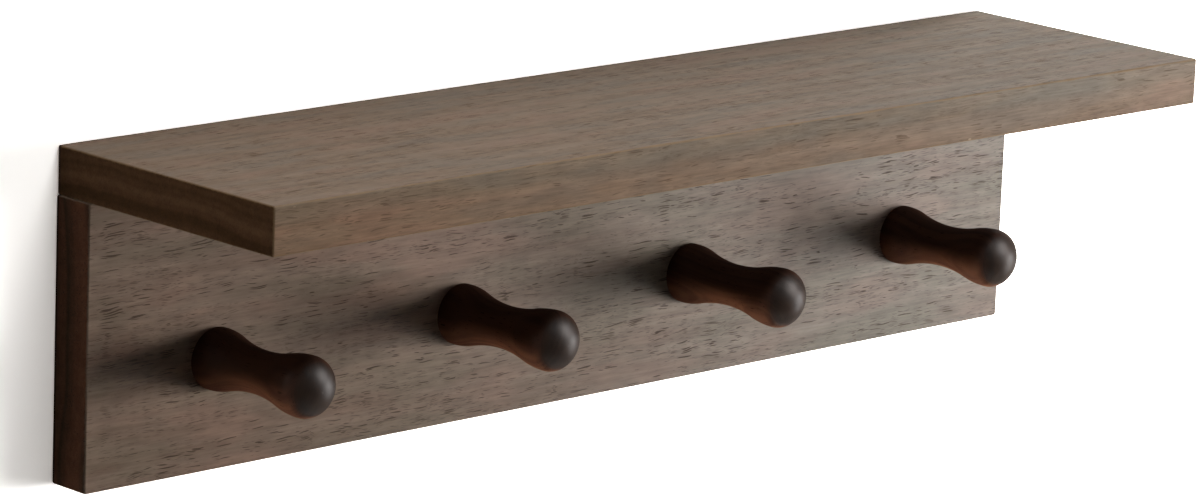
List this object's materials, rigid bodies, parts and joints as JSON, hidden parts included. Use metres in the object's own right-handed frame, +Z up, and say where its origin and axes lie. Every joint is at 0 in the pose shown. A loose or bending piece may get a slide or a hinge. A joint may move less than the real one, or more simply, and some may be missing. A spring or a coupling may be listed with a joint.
{
  "type": "shaker peg rail with shelf",
  "caption": "Dark stained wooden wall shelf lying on a back board that carries a row of turned pegs, with keyhole hangers let into the back.",
  "frame": {"origin": "on the wall plane, midway between the round entries of the two keyhole plates", "axes": "+X along the rail, to the right as seen from the room; +Y into the wall; +Z up"},
  "size_m": [0.5008, 0.125, 0.131],
  "materials": {
    "shelf_wood": "satin dark walnut stain",
    "board_wood": "satin dark walnut stain",
    "peg_wood": "satin, very dark walnut stain",
    "dowel_wood": "raw, glued",
    "plate_steel": "zinc plated, satin",
    "screw_steel": "zinc plated"
  },
  "bodies": {
    "root": {"shelf_board": "shelf_wood", "back_board": "board_wood", "peg_1": "peg_wood", "peg_2": "peg_wood", "peg_3": "peg_wood", "peg_4": "peg_wood", "dowel_1": "dowel_wood", "dowel_2": "dowel_wood", "dowel_3": "dowel_wood", "dowel_4": "dowel_wood", "keyhole_plate_left": "plate_steel", "keyhole_plate_right": "plate_steel", "plate_screw_left_upper": "screw_steel", "plate_screw_left_lower": "screw_steel", "plate_screw_right_upper": "screw_steel", "plate_screw_right_lower": "screw_steel"}
  },
  "joints": []
}
